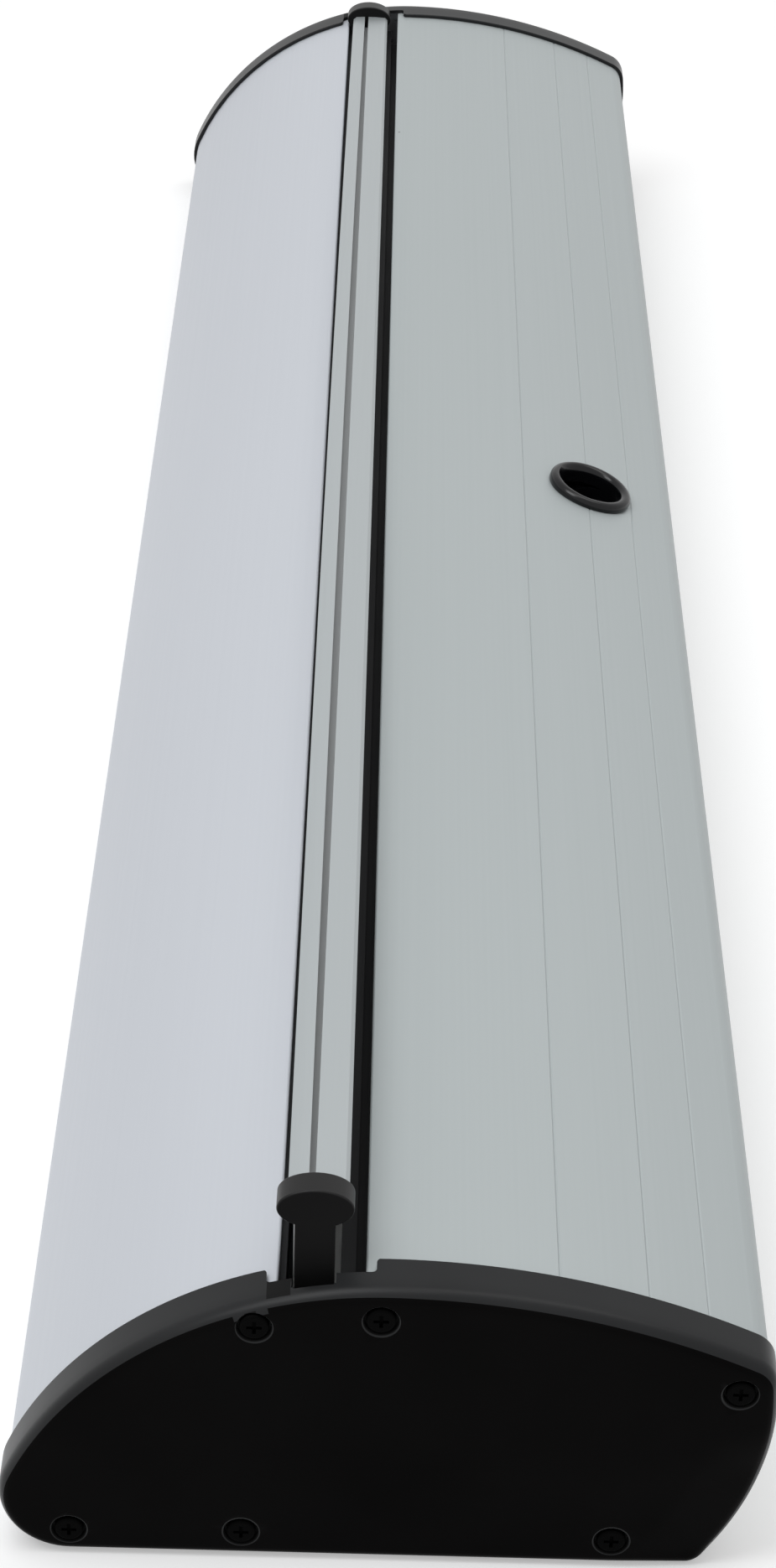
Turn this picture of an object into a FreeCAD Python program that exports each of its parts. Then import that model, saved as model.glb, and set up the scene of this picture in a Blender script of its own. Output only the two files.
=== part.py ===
import FreeCAD, Part
import Sketcher
import math
import os

from FreeCAD import Placement, Rotation, Vector

# Retractable banner stand: a long closed cassette that lies on the floor.
# X runs from the front (-) to the rear (+), Y from the near end (-) to the far end (+), Z is up.
# The origin is the middle of the floor under the cassette.

SIZES = [
    # cassette outline, as the end caps show it
    ("visible_length", 870.0),
    ("half_width", 98.0),
    ("crown_height", 88.8),
    ("toe_radius", 18.0),
    ("rear_radius", 213.5),
    ("side_radius", 88.0),
    ("side_height_share", 0.5856),
    ("shoulder_radius", 9.0),
    ("heel_radius", 6.0),
    # end caps
    ("cap_depth", 14.5),
    ("cap_face_wall", 3.6),
    ("cap_proud", 1.5),
    ("cap_gap", 0.15),
    ("cap_edge_round", 3.4),
    ("notch_front_margin", 2.9),
    ("notch_rear_margin", 2.6),
    ("notch_depth", 5.3),
    ("notch_corner", 1.6),
    ("seat_drop", 35.8),
    ("seat_wall", 3.0),
    # end plates
    ("plate_wall", 2.0),
    ("plate_gap", 0.1),
    ("plate_slack", 0.2),
    # extruded shells
    ("shell_wall", 1.6),
    ("slot_front_x", -27.5),
    ("slot_width", 21.7),
    ("flange_wall", 1.5),
    ("front_flange_drop", 22.8),
    ("rear_flange_drop", 20.8),
    ("rear_hook", 1.8),
    ("slot_edge_round", 0.6),
    ("joint_offset", 4.0),
    ("joint_height", 12.0),
    ("joint_gap", 0.2),
    ("joint_overlap", 2.0),
    ("groove_a_share", 0.4327),
    ("groove_b_share", 0.6653),
    ("groove_c_share", 0.8204),
    ("groove_width", 0.8),
    ("groove_depth", 0.28),
    # screw channels, seen on the end caps
    ("front_top_offset", 5.5),
    ("front_top_drop", 11.6),
    ("rear_top_offset", 4.0),
    ("rear_top_drop", 8.6),
    ("shoulder_inset", 10.0),
    ("shoulder_height_share", 0.67),
    ("toe_z", 8.2),
    ("floor_front_share", 0.3673),
    ("floor_rear_offset", 6.9),
    ("floor_z", 8.8),
    ("channel_wall", 1.4),
    ("neck_width", 2.2),
    # cap screws
    ("screw_radius", 1.95),
    ("screw_length", 18.0),
    ("screw_gap", 0.1),
    ("screw_head_radius", 3.7),
    ("screw_head_height", 2.0),
    ("screw_sink", 2.4),
    ("screw_sink_gap", 0.6),
    ("screw_edge_share", 0.35),
    ("cross_length", 3.8),
    ("cross_width", 0.9),
    ("cross_depth", 1.1),
    # pole passage
    ("pole_inset", 32.4),
    ("pole_bore_radius", 10.3),
    ("socket_wall", 1.3),
    ("socket_drop", 5.1),
    ("socket_foot_height", 15.0),
    ("foot_block_height", 10.2),
    ("foot_block_front", 14.6),
    ("foot_block_rear", 11.0),
    ("foot_block_half", 22.5),
    ("foot_collar_wall", 2.4),
    ("foot_collar_height", 13.0),
    ("foot_gap", 0.1),
    ("foot_screw_x", 4.6),
    ("foot_screw_y", 18.4),
    ("foot_screw_radius", 1.6),
    ("foot_screw_head_radius", 3.0),
    ("foot_screw_head_height", 1.8),
    ("grommet_radius", 15.0),
    ("grommet_rise", 2.9),
    ("grommet_round", 1.35),
    ("grommet_bore_radius", 10.7),
    ("grommet_neck_radius", 13.4),
    ("grommet_barb_radius", 14.3),
    ("grommet_barb_height", 1.6),
    ("grommet_skirt_wall", 1.5),
    ("grommet_skirt_length", 8.0),
    ("grommet_skirt_gap", 0.3),
    # slot guides
    ("front_guide_wall", 1.6),
    ("front_guide_drop", 9.9),
    ("front_guide_lip", 1.3),
    ("rear_guide_drop", 11.4),
    ("rear_guide_reach", 6.4),
    ("rear_guide_shelf", 3.8),
    ("rear_guide_wall", 1.4),
    ("guide_gap", 0.1),
    # roller and its spring
    ("roller_height_share", 0.428),
    ("tube_radius", 16.0),
    ("tube_wall", 1.2),
    ("tube_end_gap", 8.0),
    ("roll_radius", 20.8),
    ("roll_gap", 0.05),
    ("shaft_radius", 4.0),
    ("shaft_length", 326.0),
    ("shaft_flat", 3.0),
    ("shaft_fit", 0.08),
    ("plug_length", 20.0),
    ("plug_flange", 2.0),
    ("plug_fit", 0.05),
    ("hub_radius", 6.0),
    ("hub_length", 8.0),
    ("spring_fit", 0.1),
    ("spring_wall", 2.5),
    ("spring_end_gap", 0.3),
    ("anchor_length", 8.0),
    ("anchor_gap", 0.3),
    ("pin_length", 34.0),
    ("pin_head_radius", 7.0),
    ("pin_head_height", 1.2),
    ("clip_radius", 6.6),
    ("clip_wall", 0.8),
    ("clip_gap", 0.5),
    # banner film
    ("film_end_gap", 10.0),
    ("film_thickness", 0.3),
    ("film_offset", 3.4),
    ("film_roll_gap", 0.3),
    ("film_grip", 4.0),
    # top rail, written in its level place
    ("rail_lift_at_near_end", 19.0),
    ("rail_slot_gap", 1.0),
    ("rail_width", 16.1),
    ("rail_base_drop", 7.8),
    ("rail_top_drop", 0.6),
    ("rail_edge_drop", 1.4),
    ("rail_edge_width", 1.6),
    ("rail_crown_drop", 0.3),
    ("rail_ridge_inset", 5.2),
    ("rail_bevel_width", 1.1),
    ("split_inset", 5.0),
    ("split_width", 2.1),
    ("front_bar_wall", 1.8),
    ("film_slack", 0.05),
    ("tongue_height", 1.6),
    ("step_height", 2.2),
    ("step_width", 2.4),
    ("hollow_wall", 1.4),
    ("head_offset", 7.9),
    ("head_drop", 2.0),
    ("head_half_width", 9.6),
    ("head_half_height", 5.75),
    ("head_thickness", 8.0),
    ("head_inset", 4.0),
    ("head_round", 0.6),
    ("stem_width", 9.9),
    ("stem_side_gap", 0.55),
    ("pocket_depth", 9.4),
    ("seat_overhang", 0.4),
    ("toe_gap", 0.05),
    ("tang_length", 12.0),
    ("tang_gap", 0.15),
    # cuts run past the faces they open by this much
    ("overrun", 5.0),
]

doc = FreeCAD.newDocument("banner_stand")
sheet = doc.addObject("Spreadsheet::Sheet", "Sizes")
for row, (alias, number) in enumerate(SIZES, start=1):
    sheet.set(f"A{row}", alias)
    sheet.set(f"B{row}", str(number))
    sheet.setAlias(f"B{row}", alias)
doc.recompute()

NODES = []
ALONG_Y = Rotation(Vector(1, 0, 0), -90)
UPRIGHT = Rotation()


def size(name):
    return float(sheet.get(name))


# Helpers that make document objects bound to the sheet

def node(item, name):
    item.Label = name
    NODES.append(item)
    return item


def bind(item, **links):
    for field, formula in links.items():
        item.setExpression(field, formula)


def place(item, rotation, x, y, z):
    item.Placement = Placement(Vector(), rotation)
    item.setExpression("Placement.Base.x", x)
    item.setExpression("Placement.Base.y", y)
    item.setExpression("Placement.Base.z", z)


def cylinder(name, radius, length, x, y, z, rotation=ALONG_Y):
    item = doc.addObject("Part::Cylinder", name)
    bind(item, Radius=radius, Height=length)
    place(item, rotation, x, y, z)
    return item


def fuse(name, *shapes):
    item = doc.addObject("Part::MultiFuse", name)
    item.Shapes = list(shapes)
    return item


def cut(name, base, tool):
    item = doc.addObject("Part::Cut", name)
    item.Base = base
    item.Tool = tool
    return item


def origin_plane(body, role):
    return next(plane for plane in body.Origin.OriginFeatures if plane.Role == role)


def ring_body(name, outer, inner, length, x, y, z, rotation=ALONG_Y):
    """A round sleeve: two circles on the body's own XY plane, padded to its length."""
    body = doc.addObject("PartDesign::Body", name)
    sketch = body.newObject("Sketcher::SketchObject", name + "_section")
    sketch.AttachmentSupport = [(origin_plane(body, "XY_Plane"), "")]
    sketch.MapMode = "FlatFace"
    for order, formula in enumerate((outer, inner)):
        start = size("shaft_radius") * (order + 1)
        sketch.addGeometry(Part.Circle(Vector(), Vector(0, 0, 1), start), False)
        sketch.addConstraint(Sketcher.Constraint("Coincident", order, 3, -1, 1))
        sketch.addConstraint(Sketcher.Constraint("Radius", order, start))
        sketch.setExpression(f"Constraints[{2 * order + 1}]", formula)
    pad = body.newObject("PartDesign::Pad", name + "_pad")
    pad.Profile = sketch
    pad.setExpression("Length", length)
    place(body, rotation, x, y, z)
    return node(body, name)


def feature(name, shape, placement=None):
    item = doc.addObject("Part::Feature", name)
    item.Shape = shape
    if placement is not None:
        item.Placement = placement
    return node(item, name)


# Plane helpers: faces in the XZ plane, pushed along Y

def flat(x, z):
    return Vector(x, 0, z)


def polygon(points):
    corners = [flat(x, z) for x, z in points]
    return Part.Face(Part.makePolygon(corners + corners[:1]))


def rectangle(x0, z0, x1, z1):
    return polygon([(x0, z0), (x1, z0), (x1, z1), (x0, z1)])


def disc(x, z, radius):
    return Part.Face(Part.Wire(Part.makeCircle(radius, flat(x, z), Vector(0, 1, 0))))


def bar(face, y0, y1):
    return face.translated(Vector(0, y0, 0)).extrude(Vector(0, y1 - y0, 0))


def union(first, *others):
    return first.fuse(list(others)).removeSplitter() if others else first


def meeting(first, r_first, second, r_second):
    """The point to the rear where two circles in the XZ plane cross."""
    gap = second - first
    along = (r_first ** 2 - r_second ** 2 + gap.Length ** 2) / (2 * gap.Length)
    off = math.sqrt(r_first ** 2 - along ** 2)
    way = Vector(gap).normalize()
    crossings = [first + way * along + Vector(way.z, 0, -way.x) * side * off for side in (1, -1)]
    return max(crossings, key=lambda point: point.x)


def arc(centre, radius, start, end):
    middle = (start + end) * 0.5 - centre
    return Part.Arc(start, centre + middle.normalize() * radius, end).toShape()


def front_radius():
    """Radius of the front arc, which peaks over the origin and meets the toe's rounding."""
    crown, toe = size("crown_height"), size("toe_radius")
    return ((size("half_width") - toe) ** 2 / (crown - 2 * toe) + crown) / 2


def centres():
    """Centres of the front, rear and side arcs of the outline."""
    crown = size("crown_height")
    side = flat(size("half_width") - size("side_radius"), crown * size("side_height_share"))
    return flat(0, crown - front_radius()), flat(0, crown - size("rear_radius")), side


def outline(inset=0):
    """Cross-section of the cassette, rounded at toe, shoulder and heel, drawn in by the inset."""
    front, rear, side = centres()
    r_front = front_radius() - inset
    r_rear = size("rear_radius") - inset
    r_side = size("side_radius") - inset
    toe = flat(front.x - math.sqrt(r_front ** 2 - (front.z - inset) ** 2), inset)
    crown = flat(front.x, size("crown_height") - inset)
    shoulder = meeting(rear, r_rear, side, r_side)
    heel = flat(side.x + math.sqrt(r_side ** 2 - (side.z - inset) ** 2), inset)
    edges = [
        arc(front, r_front, toe, crown),
        arc(rear, r_rear, crown, shoulder),
        arc(side, r_side, shoulder, heel),
        Part.makeLine(heel, toe),
    ]
    block = bar(Part.Face(Part.Wire(edges)), 0, size("overrun"))
    for corner, radius in ((toe, "toe_radius"), (shoulder, "shoulder_radius"), (heel, "heel_radius")):
        middle = corner + Vector(0, size("overrun") / 2, 0)
        edge = min(block.Edges, key=lambda one: (one.CenterOfMass - middle).Length)
        block = block.makeFillet(size(radius) - inset, [edge])
    return min(block.Faces, key=lambda one: one.CenterOfMass.y)


def surface_place(x):
    """A point on the rear shell's outside above x, and its outward direction."""
    rear = centres()[1]
    radius = size("rear_radius") - size("cap_proud")
    angle = math.asin((x - rear.x) / radius)
    outward = flat(math.sin(angle), math.cos(angle))
    return rear + outward * radius, outward


# Places along the cassette, from the named sizes

HALF_VISIBLE = size("visible_length") / 2
CAP_FACE = HALF_VISIBLE + size("cap_depth")
CAP_FLOOR = CAP_FACE - size("cap_face_wall")
PLATE_OUT = CAP_FLOOR - size("plate_slack")
PLATE_IN = PLATE_OUT - size("plate_wall")
SHELL_END = PLATE_IN - size("plate_gap")
FLOOR = size("cap_proud") + size("shell_wall")
BELOW = -size("overrun")
ABOVE = size("crown_height") + size("overrun")
BESIDE = size("half_width") + size("overrun")

SLOT_FRONT = size("slot_front_x")
SLOT_REAR = SLOT_FRONT + size("slot_width")
FRONT_FLANGE_FOOT = size("crown_height") - size("front_flange_drop")
REAR_FLANGE_FOOT = size("crown_height") - size("rear_flange_drop")
TOE_X = size("toe_radius") - size("half_width")
JOINT_X = TOE_X + size("joint_offset")
POLE_X = size("half_width") - size("pole_inset")

SCREW_PLACES = {
    "front_top": (SLOT_FRONT - size("front_top_offset"), size("crown_height") - size("front_top_drop")),
    "rear_top": (SLOT_REAR + size("rear_top_offset"), size("crown_height") - size("rear_top_drop")),
    "shoulder": (size("half_width") - size("shoulder_inset"),
                 size("crown_height") * size("shoulder_height_share")),
    "toe": (TOE_X, size("toe_z")),
    "floor_front": (-size("half_width") * size("floor_front_share"), size("floor_z")),
    "floor_rear": (POLE_X - size("floor_rear_offset"), size("floor_z")),
}
CHANNEL_BORE = size("screw_radius") + size("screw_gap")
CHANNEL_RADIUS = CHANNEL_BORE + size("channel_wall")

FILM_X = SLOT_FRONT + size("film_offset")
ROLLER_X = FILM_X + size("roll_radius") + size("film_roll_gap")
ROLLER_Z = size("crown_height") * size("roller_height_share")
RAIL_FRONT = SLOT_FRONT + size("rail_slot_gap")
RAIL_REAR = RAIL_FRONT + size("rail_width")
RAIL_BASE = size("crown_height") - size("rail_base_drop")
RAIL_TOP = size("crown_height") - size("rail_top_drop")
SPLIT_FRONT = RAIL_FRONT + size("split_inset")
SPLIT_REAR = SPLIT_FRONT + size("split_width")
HEAD_X = RAIL_FRONT + size("head_offset")
HEAD_Z = size("crown_height") - size("head_drop")
SEAT_Z = size("crown_height") - size("seat_drop")
STEM_FRONT = HEAD_X - size("stem_width") / 2
STEM_REAR = HEAD_X + size("stem_width") / 2
POCKET_FRONT = STEM_FRONT - size("stem_side_gap")
POCKET_REAR = STEM_REAR + size("stem_side_gap")
HEAD_IN = HALF_VISIBLE - size("head_inset")
HEAD_OUT = HEAD_IN + size("head_thickness")
TOE_ROUND = size("head_thickness") / 2
PIVOT = Vector(0, HEAD_IN + TOE_ROUND, SEAT_Z + size("toe_gap") + TOE_ROUND)
TILT = math.degrees(math.asin(size("rail_lift_at_near_end") / (HEAD_IN + HEAD_OUT)))
LIFTED = Placement(Vector(), Rotation(Vector(1, 0, 0), -TILT), PIVOT)


# Extruded shells

def channel(name):
    """Screw channel of a shell: a round wall and the neck that joins it to the skin."""
    x, z = SCREW_PLACES[name]
    half = size("neck_width") / 2
    deep = size("shell_wall") / 2
    necks = {
        "front_top": rectangle(x - half, z, x + half, size("crown_height")),
        "rear_top": rectangle(x - half, z, x + half, size("crown_height")),
        "shoulder": rectangle(x, z - half, size("half_width"), z + half),
        "toe": rectangle(x - half, FLOOR - deep, x + half, z),
        "floor_front": rectangle(x - half, FLOOR - deep, x + half, z),
        "floor_rear": rectangle(x - half, FLOOR - deep, x + half, z),
    }
    return [disc(x, z, CHANNEL_RADIUS), necks[name]]


def shell_bar(region, ribs, names, cuts=()):
    """Skin of one shell inside its region, with its ribs and screw channels."""
    whole = long_bar(outline(size("cap_proud")))
    inside = long_bar(outline(size("cap_proud") + size("shell_wall")))
    skin = whole.cut(inside).common(union(*[long_bar(face) for face in region]))
    faces = list(ribs)
    for name in names:
        faces += channel(name)
    added = union(*[long_bar(face) for face in faces]).common(whole)
    shell = skin.fuse(added)
    for face in [disc(*SCREW_PLACES[name], CHANNEL_BORE) for name in names] + list(cuts):
        shell = shell.cut(long_bar(face))
    return shell.removeSplitter()


def long_bar(face):
    return bar(face, -SHELL_END, SHELL_END)


def front_shell():
    region = [
        rectangle(-BESIDE, size("joint_height"), SLOT_FRONT, ABOVE),
        rectangle(-BESIDE, BELOW, JOINT_X, size("joint_height")),
    ]
    flange = rectangle(SLOT_FRONT - size("flange_wall"), FRONT_FLANGE_FOOT, SLOT_FRONT, ABOVE)
    return round_slot_edge(shell_bar(region, [flange], ("front_top", "toe")), SLOT_FRONT)


def rear_shell():
    edge = SLOT_REAR
    start = JOINT_X + size("joint_gap")
    region = [
        rectangle(edge, size("joint_height"), BESIDE, ABOVE),
        rectangle(start, BELOW, BESIDE, size("joint_height")),
    ]
    wall, foot, lap = size("flange_wall"), REAR_FLANGE_FOOT, size("joint_overlap")
    ribs = [
        rectangle(edge, foot, edge + wall, ABOVE),
        rectangle(edge - size("rear_hook"), foot, edge + wall, foot + wall),
        rectangle(JOINT_X - lap, FLOOR + size("joint_gap"), start + lap, FLOOR + size("shell_wall")),
        rectangle(start, FLOOR - size("joint_gap"), start + lap, FLOOR + size("shell_wall")),
    ]
    names = ("rear_top", "shoulder", "floor_front", "floor_rear")
    shell = round_slot_edge(shell_bar(region, ribs, names, grooves()), edge)
    point, outward = surface_place(POLE_X)
    reach = size("overrun")
    hole = Part.makeCylinder(size("grommet_neck_radius"), 2 * reach, point - outward * reach, outward)
    shell = shell.cut(hole)
    for x, y in foot_screw_places():
        drill = Part.makeCylinder(size("foot_screw_radius") + size("screw_gap"), FLOOR, Vector(x, y, 0))
        shell = shell.cut(drill)
    return shell


def grooves():
    """Three fine V-grooves along the rear shell, each open well above the skin."""
    faces = []
    for name in ("groove_a_share", "groove_b_share", "groove_c_share"):
        point, outward = surface_place(size("half_width") * size(name))
        across = flat(outward.z, -outward.x) * (size("groove_width") / 2)
        deep = outward * size("groove_depth")
        corners = (point + across + deep, point - across + deep, point - across, point - deep, point + across)
        faces.append(polygon([(corner.x, corner.z) for corner in corners]))
    return faces


def round_slot_edge(shell, edge_x):
    """Breaks the long upper edge where the skin turns down into the slot."""
    long_edges = [
        edge for edge in shell.Edges
        if abs(edge.CenterOfMass.x - edge_x) < size("joint_gap")
        and edge.CenterOfMass.z > max(FRONT_FLANGE_FOOT, REAR_FLANGE_FOOT) + size("flange_wall")
        and edge.Length > HALF_VISIBLE
    ]
    return shell.makeFillet(size("slot_edge_round"), long_edges)


# End caps, end plates and their screws

def near_end_cap():
    body = bar(outline(), -CAP_FACE, -HALF_VISIBLE)
    rim = [edge for edge in body.Edges if edge.BoundBox.YMax < -HALF_VISIBLE - size("cap_depth") / 2]
    body = body.makeFillet(size("cap_edge_round"), rim)
    cavity = bar(outline(size("cap_proud") - size("cap_gap")), -CAP_FLOOR, -HALF_VISIBLE + size("overrun"))
    seat = bar(
        rectangle(POCKET_FRONT, SEAT_Z - size("seat_wall"), POCKET_REAR, SEAT_Z),
        -CAP_FLOOR, -HEAD_IN + size("seat_overhang"),
    )
    notch_floor = -HALF_VISIBLE - size("notch_depth")
    notch = bar(
        rectangle(SLOT_FRONT - size("notch_front_margin"), ROLLER_Z,
                  SLOT_REAR + size("notch_rear_margin"), ABOVE),
        notch_floor, -HALF_VISIBLE + size("overrun"),
    )
    corners = [edge for edge in notch.Edges if is_upright(edge) and edge.CenterOfMass.y < -HALF_VISIBLE]
    notch = notch.makeFillet(size("notch_corner"), corners)
    pocket = bar(
        rectangle(POCKET_FRONT, SEAT_Z, POCKET_REAR, ABOVE),
        -HALF_VISIBLE - size("pocket_depth"), -HALF_VISIBLE,
    )
    cap = body.cut(cavity).cut(notch).cut(pocket).fuse(seat).removeSplitter()
    for x, z in SCREW_PLACES.values():
        hole = Part.makeCylinder(CHANNEL_BORE + size("screw_gap"), size("cap_depth"),
                                 Vector(x, -CAP_FACE - size("overrun"), z), Vector(0, 1, 0))
        sink = Part.makeCylinder(size("screw_head_radius") + size("screw_sink_gap"),
                                 size("screw_sink") + size("overrun"),
                                 Vector(x, -CAP_FACE - size("overrun"), z), Vector(0, 1, 0))
        cap = cap.cut(hole).cut(sink)
    return cap


def is_upright(edge):
    bounds = edge.BoundBox
    return bounds.ZLength > max(bounds.XLength, bounds.YLength) and bounds.XLength < size("joint_gap")


def end_plate(shaft_hole):
    """Steel plate against the shell ends, with the stem opening and the shaft's own hole."""
    section = outline(size("cap_proud") + size("plate_gap"))
    gap = size("plate_slack")
    opening = rectangle(POCKET_FRONT - gap, SEAT_Z - size("seat_wall") - gap,
                        POCKET_REAR + gap, ABOVE)
    section = section.cut(opening).cut(shaft_hole)
    for x, z in SCREW_PLACES.values():
        section = section.cut(disc(x, z, CHANNEL_BORE + size("screw_gap")))
    return bar(section, -PLATE_OUT, -PLATE_IN)


def shaft_section(gap=0):
    """Round shaft end with two flats, grown by the gap."""
    x, z = ROLLER_X, ROLLER_Z
    radius, half = size("shaft_radius") + gap, size("shaft_flat") + gap
    return disc(x, z, radius).common(rectangle(x - radius, z - half, x + radius, z + half))


def screw(radius, length, head_radius, head_height):
    """Pan-head screw with a cross recess; its shank points along +Z from under the head."""
    head = Part.makeCylinder(head_radius, head_height, Vector(0, 0, -head_height))
    top = [edge for edge in head.Edges if edge.BoundBox.ZMax < -head_height / 2 and edge.Closed]
    head = head.makeFillet(head_height * size("screw_edge_share"), top[:1])
    shank = Part.makeCylinder(radius, length)
    long_side, short_side = size("cross_length"), size("cross_width")
    cross = None
    for wide, deep in ((long_side, short_side), (short_side, long_side)):
        slit = Part.makeBox(wide, deep, size("cross_depth"), Vector(-wide / 2, -deep / 2, -head_height))
        cross = slit if cross is None else cross.fuse(slit)
    return head.fuse(shank).cut(cross)


def near_cap_screws():
    model = screw(size("screw_radius"), size("screw_length"), size("screw_head_radius"),
                  size("screw_head_height"))
    under_head = -CAP_FACE + size("screw_sink")
    solids = []
    for x, z in SCREW_PLACES.values():
        one = model.copy()
        one.Placement = Placement(Vector(x, under_head, z), ALONG_Y)
        solids.append(one)
    return Part.makeCompound(solids)


def far_copy(shape):
    return shape.mirror(Vector(), Vector(0, 1, 0))


# Pole passage

def foot_screw_places():
    x = POLE_X + size("foot_screw_x")
    return [(x, size("foot_screw_y")), (x, -size("foot_screw_y"))]


def socket_top():
    """Height of the socket tube's top, which keeps below the skin at the tube's rear side."""
    skin = size("rear_radius") - size("cap_proud")
    outer = size("pole_bore_radius") + size("socket_wall")
    return math.sqrt(skin ** 2 - (POLE_X + outer) ** 2) + centres()[1].z - size("socket_drop")


def pole_grommet(shell):
    """Rubber ring in the sloping skin, with an upright bore and a skirt that seats over the tube."""
    point, outward = surface_place(POLE_X)
    wall = size("shell_wall")
    sunk = size("grommet_round")
    height = size("grommet_rise") + sunk
    cap = Part.makeCylinder(size("grommet_radius"), height, point - outward * sunk, outward)
    rim = [edge for edge in cap.Edges if edge.Closed and (edge.CenterOfMass - point).dot(outward) > 0]
    cap = cap.makeFillet(size("grommet_round"), rim)
    drop = wall + size("grommet_barb_height")
    low = point - outward * drop
    neck = Part.makeCylinder(size("grommet_neck_radius") - size("foot_gap"), drop, low, outward)
    barb = Part.makeCylinder(size("grommet_barb_radius"), drop, low, outward)
    filled = bar(outline(size("cap_proud")), -SHELL_END, SHELL_END)
    above = cap.cut(filled)
    below = barb.common(bar(outline(size("cap_proud") + wall), -SHELL_END, SHELL_END))
    tube = size("pole_bore_radius") + size("socket_wall") + size("foot_gap")
    skirt_foot = Vector(POLE_X, 0, socket_top() - size("grommet_skirt_length"))
    skirt = Part.makeCylinder(tube + size("grommet_skirt_wall"), ABOVE, skirt_foot).common(filled)
    seat = Part.makeCylinder(tube, size("grommet_skirt_length") + size("grommet_skirt_gap"), skirt_foot)
    bore = Part.makeCylinder(size("grommet_bore_radius"), ABOVE, Vector(POLE_X, 0, 0))
    body = above.fuse(neck).fuse(below).fuse(skirt)
    return body.cut(bore).cut(seat).cut(shell).removeSplitter()


def pole_socket_tube():
    """Upright tube under the grommet; its top keeps below the skin at the tube's rear side."""
    outer = "(Sizes.pole_bore_radius + Sizes.socket_wall)"
    pole = "(Sizes.half_width - Sizes.pole_inset)"
    skin = "(Sizes.rear_radius - Sizes.cap_proud)"
    top = (f"sqrt({skin} ^ 2 - ({pole} + {outer}) ^ 2) - Sizes.rear_radius + Sizes.crown_height"
           " - Sizes.socket_drop")
    ring_body("pole_socket_tube", outer, "Sizes.pole_bore_radius",
              f"{top} - Sizes.socket_foot_height", pole, "0", "Sizes.socket_foot_height", UPRIGHT)


def pole_foot():
    """Block on the cassette floor, straddling a screw channel, with the collar that holds the tube."""
    x, half = POLE_X, size("foot_block_half")
    z0 = FLOOR + size("foot_gap")
    z1 = FLOOR + size("foot_block_height")
    block = bar(rectangle(x - size("foot_block_front"), z0, x + size("foot_block_rear"), z1), -half, half)
    tube = size("pole_bore_radius") + size("socket_wall")
    collar_top = size("socket_foot_height") + size("foot_collar_height")
    collar = Part.makeCylinder(tube + size("foot_collar_wall"), collar_top - z1, Vector(x, 0, z1))
    seat = Part.makeCylinder(tube + size("foot_gap"), collar_top, Vector(x, 0, size("socket_foot_height")))
    tunnel_gap = size("foot_gap") + size("joint_gap")
    port_x, port_z = SCREW_PLACES["floor_rear"]
    tunnel = [
        disc(port_x, port_z, CHANNEL_RADIUS + tunnel_gap),
        rectangle(port_x - CHANNEL_RADIUS - tunnel_gap, 0, port_x + CHANNEL_RADIUS + tunnel_gap, port_z),
    ]
    foot = block.fuse(collar).cut(seat)
    for face in tunnel:
        foot = foot.cut(bar(face, -half - tunnel_gap, half + tunnel_gap))
    for px, py in foot_screw_places():
        hole = size("foot_screw_radius") + size("screw_gap")
        foot = foot.cut(Part.makeCylinder(hole, collar_top, Vector(px, py, 0)))
    return foot.removeSplitter()


def pole_foot_screws():
    top = FLOOR + size("foot_block_height")
    length = top - size("cap_proud") - size("screw_gap")
    model = screw(size("foot_screw_radius"), length, size("foot_screw_head_radius"),
                  size("foot_screw_head_height"))
    solids = []
    for x, y in foot_screw_places():
        one = model.copy()
        one.Placement = Placement(Vector(x, y, top), Rotation(Vector(1, 0, 0), 180))
        solids.append(one)
    return Part.makeCompound(solids)


# Slot guides

def front_slot_guide():
    edge, wall, gap = SLOT_FRONT, size("front_guide_wall"), size("guide_gap")
    foot, lip = FRONT_FLANGE_FOOT, size("front_guide_lip")
    top = size("crown_height") - size("front_guide_drop")
    return bar(polygon([
        (edge + gap, top),
        (edge + gap + wall, top),
        (edge + gap + wall, foot - gap - lip),
        (edge - size("flange_wall"), foot - gap - lip),
        (edge - size("flange_wall"), foot - gap),
        (edge + gap, foot - gap),
    ]), -SHELL_END, SHELL_END)


def rear_slot_guide():
    edge, wall, gap = SLOT_REAR, size("rear_guide_wall"), size("guide_gap")
    top = size("crown_height") - size("rear_guide_drop")
    front = edge - size("rear_guide_reach")
    rear = front + size("rear_guide_shelf")
    low = REAR_FLANGE_FOOT + size("flange_wall") + gap
    return bar(polygon([
        (front, top),
        (front, top - wall),
        (rear - wall, top - wall),
        (rear - wall, low),
        (edge - gap, low),
        (edge - gap, low + wall),
        (rear, low + wall),
        (rear, top),
    ]), -SHELL_END, SHELL_END)


# Roller group

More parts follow.
